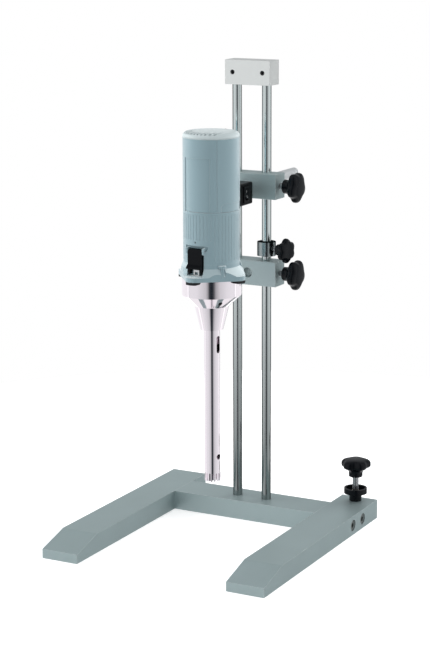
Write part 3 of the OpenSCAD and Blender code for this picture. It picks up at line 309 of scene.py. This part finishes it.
def finish(
    name,
    color,
    roughness,
    metallic=0.0,
    size=1500,
    stretch=(1, 1, 1),
    mottle=0.04,
    relief=0.3,
    edge=None,
    edge_strength=0.5,
    specular=0.5,
    rim_tint=None,
    softened=0.0,
):
    material = bpy.data.materials.new(name)
    material.use_nodes = True
    tree = material.node_tree
    shader = tree.nodes["Principled BSDF"]
    shader.inputs["Metallic"].default_value = metallic
    shader.inputs["Specular IOR Level"].default_value = specular
    if rim_tint:
        shader.inputs["Specular Tint"].default_value = (*rim_tint, 1)
    effect = tree.nodes.new("ShaderNodeGroup")
    effect.node_tree = grain
    effect.inputs["Color"].default_value = (*color, 1)
    effect.inputs["Roughness"].default_value = roughness
    effect.inputs["Size"].default_value = size
    effect.inputs["Stretch"].default_value = stretch
    effect.inputs["Mottle"].default_value = mottle
    effect.inputs["Relief"].default_value = relief
    plug(tree, effect.outputs["Roughness"], shader.inputs["Roughness"])
    bump = tree.nodes.new("ShaderNodeBump")
    bump.inputs["Strength"].default_value = 0.25
    bump.inputs["Distance"].default_value = 0.0002
    plug(tree, effect.outputs["Height"], bump.inputs["Height"])
    plug(tree, bump.outputs[0], shader.inputs["Normal"])
    if softened:
        corner = tree.nodes.new("ShaderNodeBevel")
        corner.samples = 6
        corner.inputs["Radius"].default_value = softened
        plug(tree, corner.outputs[0], bump.inputs["Normal"])
    colored = effect.outputs["Color"]
    # painted highlight and wear: the edges are lightened towards the edge colour
    if edge:
        edge_wear_glint = tree.nodes.new("ShaderNodeGroup")
        edge_wear_glint.node_tree = wear_glint
        edge_wear_glint.inputs["Edge Color"].default_value = (*edge, 1)
        edge_wear_glint.inputs["Strength"].default_value = edge_strength
        plug(tree, colored, edge_wear_glint.inputs["Color"])
        colored = edge_wear_glint.outputs["Color"]
    plug(tree, colored, shader.inputs["Base Color"])
    return material


def dress(names, material):
    for name in names.split():
        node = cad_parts[name]
        node.data.materials.clear()
        node.data.materials.append(material)


# the bars' edges are lightened, partly wear and partly a painted highlight
bar_grey = finish(
    "anodised_bar",
    (0.385, 0.475, 0.482),
    0.4,
    metallic=0.6,
    size=2200,
    mottle=0.12,
    relief=0.5,
    edge=(0.66, 0.72, 0.72),
    edge_strength=0.9,
    softened=0.0008,
)
dress("left_leg right_leg crossbar", bar_grey)
black_screw = finish("black_oxide", (0.018, 0.019, 0.021), 0.38, metallic=0.4, mottle=0.15)
grey_screw = finish("grey_screw", (0.20, 0.225, 0.22), 0.4, metallic=0.8, mottle=0.15)
dress("leg_screws", grey_screw)
dress("column_screws", black_screw)

# The columns: round bar, ground and polished, painted darker towards the foot as a painted
# reflection of the dark room there. The block that ties their tops is lighter, and black set screws
# hold it.


def color_of(material):
    tree = material.node_tree
    socket = tree.nodes["Principled BSDF"].inputs["Base Color"]
    return tree, socket, socket.links[0].from_socket


column_steel = finish(
    "polished_column",
    (0.69, 0.745, 0.74),
    0.13,
    metallic=1.0,
    rim_tint=(0.05, 0.06, 0.06),
    size=700,
    stretch=(1, 1, 9),
    mottle=0.08,
    relief=0.2,
)
column_tree, column_in, column_color = color_of(column_steel)
column_place = column_tree.nodes.new("ShaderNodeTexCoord").outputs["Object"]
column_height = split_step(column_tree, column_place)["Z"]
# painted reflection: the colour darkens towards the foot, to under half at the bottom
column_painted_reflection = range_step(column_tree, column_height, 0.02, 0.42, 0.45, 1.0, curve="SMOOTHSTEP")
plug(column_tree, vector_step(column_tree, "SCALE", column_color, column_painted_reflection), column_in)
dress("left_column right_column", column_steel)
# the block's edges are lightened, partly wear and partly a painted highlight
top_alloy = finish(
    "light_anodised",
    (0.80, 0.815, 0.80),
    0.38,
    metallic=0.7,
    size=2200,
    mottle=0.04,
    relief=0.5,
    edge=(0.8, 0.82, 0.82),
    softened=0.0008,
)
dress("top_block", top_alloy)
dress("top_set_screws", black_screw)

# The sliding blocks: sawn from the same grey bar, each with a slot and a clamp stud that squeezes
# it on the columns. The collar that stops the carriage is turned from dark steel.
dress("upper_clamp_block lower_clamp_block", bar_grey)
collar_steel = finish(
    "turned_collar",
    (0.36, 0.40, 0.405),
    0.16,
    metallic=1.0,
    rim_tint=(0.04, 0.05, 0.05),
    size=900,
    stretch=(1, 1, 0.12),
    mottle=0.08,
    relief=0.3,
)
dress("stop_collar", collar_steel)
dress("rod_lock_screw lower_lock_screw", black_screw)


# Threaded studs: bright zinc-plated steel, M8 for the clamps and the levelling foot and M6 for the
# collar. The thread is rolled, so its crests are flat, and each end is pointed off.
def threaded_stud(name, radius, pitch, length):
    root = radius - 0.6 * pitch
    end_taper = 0.0004
    bpy.ops.object.select_all(action="DESELECT")
    bpy.ops.mesh.primitive_circle_add(
        vertices=5, radius=radius, fill_type="NOTHING", location=(0, 0, 0)
    )
    stud = bpy.context.object
    stud.name = name
    bpy.ops.object.mode_set(mode="EDIT")
    profile = bmesh.from_edit_mesh(stud.data)
    tooth = ((root, 0), (root, 0.2), (radius, 0.46), (radius, 0.72), (root, 1))
    for point, (out, up) in zip(list(profile.verts), tooth):
        point.co = (out, 0, (up - 1) * pitch)
    for line in list(profile.edges):
        if {line.verts[0].index, line.verts[1].index} == {0, 4}:
            profile.edges.remove(line)
    bmesh.update_edit_mesh(stud.data)
    bpy.ops.object.mode_set(mode="OBJECT")
    helix = stud.modifiers.new("helix", "SCREW")
    helix.angle = 2 * math.pi
    helix.screw_offset = pitch
    helix.iterations = math.ceil(length / pitch) + 2
    helix.steps = 24
    helix.render_steps = 24
    helix.use_smooth_shade = False
    bpy.ops.object.modifier_apply(modifier="helix")
    bpy.ops.object.mode_set(mode="EDIT")
    bpy.ops.mesh.select_all(action="SELECT")
    bpy.ops.mesh.remove_doubles(threshold=0.000004)
    bpy.ops.mesh.bisect(
        plane_co=(0, 0, 0), plane_no=(0, 0, 1), use_fill=True, clear_inner=True
    )
    bpy.ops.mesh.select_all(action="SELECT")
    bpy.ops.mesh.bisect(
        plane_co=(0, 0, length), plane_no=(0, 0, 1), use_fill=True, clear_outer=True
    )
    bpy.ops.mesh.select_all(action="SELECT")
    bpy.ops.mesh.normals_make_consistent(inside=False)
    bpy.ops.object.mode_set(mode="OBJECT")
    for point in stud.data.vertices:
        out = math.hypot(point.co.x, point.co.y)
        most = root - end_taper + min(point.co.z, length - point.co.z)
        if out > most > 0:
            point.co.x *= most / out
            point.co.y *= most / out
    return stud


def aimed(place, pointing):
    turn = Vector(pointing).to_track_quat("Z", "Y").to_matrix().to_4x4()
    return Matrix.Translation(place) @ turn


def settle(piece, matrix):
    bpy.ops.object.select_all(action="DESELECT")
    piece.select_set(True)
    bpy.context.view_layer.objects.active = piece
    piece.matrix_world = matrix
    bpy.ops.object.transform_apply(location=True, rotation=True, scale=True)


plated = finish("zinc_plated", (0.60, 0.61, 0.62), 0.27, metallic=1.0, mottle=0.1)
m8_radius, m8_pitch = 0.004, 0.00125
m6_radius, m6_pitch = 0.003, 0.001
levelling_x, levelling_y = 0.128, 0.0478
upper_z, lower_z, collar_z = 0.441, 0.3285, 0.3596
clamp_stud_x, clamp_knob_x = 0.0273, 0.0458
collar_middle = Vector((0.021, 0, collar_z))
collar_way = Vector((0.981627, -0.190809, 0))
for name, body, node, radius, pitch, length, matrix in (
    (
        "levelling_thread_piece",
        "levelling_thread",
        "levelling_stud",
        m8_radius,
        m8_pitch,
        0.0701,
        aimed((levelling_x, levelling_y, 0.0002), (0, 0, 1)),
    ),
    (
        "upper_stud_thread",
        "carriage_thread",
        "upper_clamp_stud",
        m8_radius,
        m8_pitch,
        0.0313,
        aimed((clamp_stud_x, 0, upper_z), (1, 0, 0)),
    ),
    (
        "lower_stud_thread",
        "vessel_thread",
        "lower_clamp_stud",
        m8_radius,
        m8_pitch,
        0.0313,
        aimed((clamp_stud_x, 0, lower_z), (1, 0, 0)),
    ),
    (
        "collar_stud_thread",
        "collar_thread",
        "collar_stud",
        m6_radius,
        m6_pitch,
        0.0213,
        aimed(collar_middle + 0.0063 * collar_way, collar_way),
    ),
):
    stud = threaded_stud(name, radius, pitch, length)
    settle(stud, matrix)
    stud.data.materials.append(plated)
    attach(stud, body)
    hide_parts(node)

# Star knobs: black moulded plastic, glossy from the mould, with rounded lobes round a hub and a
# domed crown. They are screwed on the studs. The lock nut is moulded round a turned brass insert.
knob_black = finish(
    "moulded_knob",
    (0.0025, 0.0035, 0.005),
    0.22,
    size=700,
    mottle=0.12,
    relief=0.25,
    specular=0.18,
)


def star_knob(name, radius, hub, height, lobes):
    around = 8 * lobes
    bpy.ops.object.select_all(action="DESELECT")
    bpy.ops.mesh.primitive_circle_add(
        vertices=around, radius=hub, fill_type="NGON", location=(0, 0, 0)
    )
    knob = bpy.context.object
    knob.name = name
    bpy.ops.object.mode_set(mode="EDIT")
    flank = (radius - hub) * 0.32
    hollow = 0.19
    rings = (
        (0.02, hub),
        (0.28, hub),
        (0.40, hub + flank * 0.7),
        (0.47, radius * 0.76),
        (0.52, radius * 0.93),
        (0.58, radius * 1.0),
        (0.70, radius * 1.005),
        (0.80, radius * 0.985),
        (0.88, radius * 0.91),
        (0.94, radius * 0.77),
        (0.975, radius * 0.58),
        (0.995, radius * 0.34),
        (1.0, radius * 0.08),
    )
    last_up, last_out = 0.0, hub
    for up, out in rings:
        rise = (up - last_up) * height
        bpy.ops.mesh.extrude_region_move(TRANSFORM_OT_translate={"value": (0, 0, rise)})
        wider = out / last_out
        bpy.ops.transform.resize(value=(wider, wider, 1), center_override=(0, 0, 0))
        last_up, last_out = up, out
    # the hollows between the lobes, one band of rings after the other, each with its depth
    cut = bmesh.from_edit_mesh(knob.data)
    for low, high, depth in (
        (0.38, 0.44, 0.4),
        (0.44, 0.50, 0.85),
        (0.50, 0.90, 1.0),
        (0.90, 0.96, 0.6),
    ):
        for step in (1, 2, 3, 4):
            share = ((1 - math.cos(step * math.pi / 4)) / 2) ** 1.4
            bpy.ops.mesh.select_all(action="DESELECT")
            for point in cut.verts:
                if not low < point.co.z / height <= high:
                    continue
                turn = math.atan2(point.co.y, point.co.x)
                phase = round(turn / (math.pi / 4 / lobes)) % 8
                point.select_set(min(phase, 8 - phase) == step)
            cut.select_flush_mode()
            bmesh.update_edit_mesh(knob.data)
            shrunk = 1 - hollow * share * depth
            bpy.ops.transform.resize(value=(shrunk, shrunk, 1), center_override=(0, 0, 0))
    bpy.ops.mesh.select_all(action="SELECT")
    bpy.ops.mesh.normals_make_consistent(inside=False)
    bpy.ops.object.mode_set(mode="OBJECT")
    bpy.ops.object.shade_smooth()
    rounded = knob.modifiers.new("rounded", "SUBSURF")
    rounded.levels = 2
    rounded.render_levels = 2
    bpy.ops.object.modifier_apply(modifier="rounded")
    knob.data.materials.append(knob_black)
    return knob


tipped = Matrix(((0, 0, 1, 0), (0, 1, 0, 0), (-1, 0, 0, 0), (0, 0, 0, 1)))
collar_turn = Matrix.Rotation(math.atan2(collar_way.y, collar_way.x), 4, "Z")
collar_knob_place = collar_middle + 0.0178 * collar_way
large_knob = (0.020, 0.009, 0.024, 5)
small_knob = (0.016, 0.0072, 0.0192, 6)
for name, body, node, sizes, matrix in (
    (
        "upper_star_knob",
        "carriage_grip",
        "upper_clamp_knob",
        large_knob,
        Matrix.Translation((clamp_knob_x, 0, upper_z)) @ tipped,
    ),
    (
        "lower_star_knob",
        "vessel_grip",
        "lower_clamp_knob",
        large_knob,
        Matrix.Translation((clamp_knob_x, 0, lower_z)) @ tipped,
    ),
    (
        "levelling_star_knob",
        "levelling_grip",
        "levelling_knob",
        large_knob,
        aimed((levelling_x, levelling_y, 0.0575), (0, 0, 1)),
    ),
    (
        "collar_star_knob",
        "collar_grip",
        "collar_knob",
        small_knob,
        Matrix.Translation(collar_knob_place) @ collar_turn @ tipped,
    ),
):
    knob = star_knob(name, *sizes)
    settle(knob, matrix)
    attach(knob, body)
    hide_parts(node)
dress("lock_nut", knob_black)
lathe_marks = (1, 1, 0.1)
brass = finish(
    "turned_brass",
    (0.55, 0.38, 0.14),
    0.3,
    metallic=1.0,
    size=900,
    stretch=lathe_marks,
    mottle=0.1,
)
dress("lock_nut_insert", brass)

# The support rod: cold drawn bar with a satin finish, held in the carriage. The bracket that
# carries the drive and its power switch is moulded in black glass-filled nylon.
rod_satin = finish(
    "satin_rod",
    (0.62, 0.64, 0.65),
    0.36,
    metallic=0.55,
    size=900,
    stretch=(1, 0.1, 1),
    mottle=0.06,
    relief=0.3,
)
dress("support_rod", rod_satin)
bracket_black = finish(
    "moulded_bracket",
    (0.003, 0.0035, 0.004),
    0.3,
    size=1800,
    mottle=0.15,
    relief=0.6,
    specular=0.10,
    softened=0.0008,
)
dress("rod_bracket", bracket_black)
dress("bracket_grub_screw", black_screw)
dress("bracket_screws", plated)
switch_black = finish(
    "moulded_switch",
    (0.004, 0.004, 0.005),
    0.2,
    mottle=0.1,
    specular=0.16,
    softened=0.0003,
)
dress("switch_bezel switch_rocker cord_gland", switch_black)

# The power rocker's two marks, printed white in the mould: a bar for on and a ring for off. Each
# lies on its own half of the rocker's face.
mark_white = finish("printed_white", (0.72, 0.73, 0.73), 0.5, size=1800, mottle=0.08)
rocker_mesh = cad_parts["switch_rocker"].data
rocker_middle_z = 0.435
mark_lift = 0.00003
for name, upper in (("rocker_bar_mark", True), ("rocker_ring_mark", False)):
    faces = [
        face
        for face in rocker_mesh.polygons
        if face.normal.x > 0.8
        and abs(face.normal.y) < 0.1
        and (face.center.z > rocker_middle_z) == upper
    ]
    area = sum(face.area for face in faces)
    middle = sum((face.center * face.area for face in faces), Vector()) / area
    normal = faces[0].normal.copy()
    bpy.ops.object.select_all(action="DESELECT")
    if upper:
        bpy.ops.mesh.primitive_cube_add(size=1, location=(0, 0, 0))
        mark = bpy.context.object
        mark.scale = (0.0005, 0.0026, 0.00012)
        bpy.ops.object.transform_apply(scale=True)
        bpy.ops.object.mode_set(mode="EDIT")
        bpy.ops.mesh.bevel(offset=0.00003, segments=1)
    else:
        bpy.ops.mesh.primitive_torus_add(
            major_radius=0.0012,
            minor_radius=0.00022,
            major_segments=36,
            minor_segments=8,
            location=(0, 0, 0),
        )
        mark = bpy.context.object
        bpy.ops.object.mode_set(mode="EDIT")
        bpy.ops.transform.resize(value=(1, 1, 0.3))
    bpy.ops.object.mode_set(mode="OBJECT")
    mark.name = name
    mark.data.materials.append(mark_white)
    settle(mark, aimed(middle + normal * mark_lift, normal))
    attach(mark, "rocker")

# The drive: two aluminium castings, painted satin blue grey, that meet at a turned flange. Its
# corners are lighter grey, partly worn paint and partly a painted highlight, what faces up is
# painted lighter as a painted top light, and the casing's cooling ribs are cast in.
drive_grey = finish(
    "painted_casting",
    (0.210, 0.312, 0.350),
    0.33,
    size=1400,
    mottle=0.04,
    relief=0.7,
    edge=(0.40, 0.50, 0.53),
    edge_strength=0.6,
    specular=0.8,
    softened=0.0006,
)
drive_shader = drive_grey.node_tree.nodes["Principled BSDF"]
drive_shader.inputs["Sheen Weight"].default_value = 0.5
drive_shader.inputs["Sheen Roughness"].default_value = 0.4
drive_tree, drive_in, drive_color = color_of(drive_grey)
drive_normal = drive_tree.nodes.new("ShaderNodeNewGeometry").outputs["Normal"]
drive_facing_up = split_step(drive_tree, drive_normal)["Z"]
# painted light: what faces up is mixed towards a lighter grey
drive_painted_top_light = range_step(drive_tree, drive_facing_up, 0.05, 0.7, 0.0, 0.85)
top_light_grey = (0.62, 0.71, 0.73, 1)
plug(drive_tree, color_mix(drive_tree, drive_painted_top_light, drive_color, top_light_grey), drive_in)
dress("motor_housing base_casing", drive_grey)
dress("housing_screws pad_screws lever_pin lever_catch", plated)
cap_white = finish(
    "moulded_cap",
    (0.50, 0.565, 0.575),
    0.38,
    size=1400,
    mottle=0.03,
    relief=0.4,
    softened=0.0006,
)
dress("vent_cap", cap_white)
dress("speed_dial", switch_black)
pad_rubber = finish(
    "pad_rubber",
    (0.010, 0.011, 0.013),
    0.55,
    size=2200,
    mottle=0.2,
    relief=0.9,
    specular=0.3,
)
dress("corner_pads", pad_rubber)
lever_black = finish(
    "gloss_lever",
    (0.002, 0.0025, 0.0035),
    0.12,
    size=900,
    mottle=0.1,
    relief=0.1,
    specular=0.12,
    softened=0.0008,
)
dress("clamp_lever", lever_black)

# The adapter and the generator: turned and polished stainless steel. The tube carries a toothed
# stator head, and white bushes guide the shaft and its rotor inside it. Two white screens behind
# the drive give it and them their light edges.
tube_steel = finish(
    "polished_tube",
    (0.93, 0.865, 0.91),
    0.07,
    metallic=1.0,
    size=900,
    stretch=(1, 1, 0.08),
    mottle=0.03,
    relief=0.12,
)
dress("adapter_cone generator_tube stator_head drive_shaft rotor_head", tube_steel)
bright_pieces = bpy.data.collections.new("bright_pieces")
for name in (
    "adapter_cone",
    "generator_tube",
    "stator_head",
    "motor_housing",
    "base_casing",
    "vent_cap",
):
    bright_pieces.objects.link(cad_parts[name])
screen_bearing = math.radians(140)
screen_distance = 2.0
for name, side in (("left_screen", -1), ("right_screen", 1)):
    way = Matrix.Rotation(side * screen_bearing, 3, "Z") @ to_camera
    place = drive_axis + way * screen_distance
    screen = area_lamp(name, place, drive_axis, 3.4, 2.6, 17)
    screen.light_linking.receiver_collection = bright_pieces
dress("adapter_set_screw", black_screw)
white_bush = finish("white_bush", (0.72, 0.72, 0.70), 0.42, size=1200, mottle=0.05)
dress("guide_bushes", white_bush)

# The motor inside: a laminated core and armature, enamelled copper windings, a barred commutator
# with two carbon brushes in brass holders, ball bearings, a moulded fan and a rubber coupling.


def layered(name, color, joint_color, roughness, metallic, pitch, share):
    material = finish(name, color, roughness, metallic=metallic, mottle=0.12)
    tree, color_in, layer_color = color_of(material)
    place = tree.nodes.new("ShaderNodeTexCoord").outputs["Object"]
    layers = math_step(tree, "DIVIDE", split_step(tree, place)["Z"], pitch)
    in_joint = math_step(tree, "GREATER_THAN", math_step(tree, "FRACT", layers), 1 - share)
    plug(tree, color_mix(tree, in_joint, layer_color, (*joint_color, 1)), color_in)
    return material


core = layered("laminated_core", (0.16, 0.165, 0.17), (0.04, 0.03, 0.025), 0.4, 0.8, 0.0006, 0.25)
dress("field_stator armature", core)
copper = layered("enamelled_copper", (0.52, 0.19, 0.07), (0.20, 0.06, 0.02), 0.3, 0.85, 0.0007, 0.3)
dress("field_coils", copper)
commutator_copper = finish(
    "commutator_copper",
    (0.62, 0.33, 0.18),
    0.28,
    metallic=1.0,
    size=900,
    stretch=lathe_marks,
    mottle=0.15,
)
dress("commutator", commutator_copper)
dress("brush_holders", brass)
carbon = finish("carbon", (0.03, 0.03, 0.032), 0.5, size=2500, mottle=0.25, relief=0.6)
dress("carbon_brushes", carbon)
ground_steel = finish(
    "ground_steel",
    (0.56, 0.57, 0.58),
    0.22,
    metallic=1.0,
    size=900,
    stretch=lathe_marks,
    mottle=0.08,
)
dress("motor_shaft upper_bearing lower_bearing", ground_steel)
dress("cooling_fan", switch_black)
red_rubber = finish("red_rubber", (0.42, 0.03, 0.025), 0.5, size=2000, mottle=0.12, relief=0.6)
dress("coupling", red_rubber)
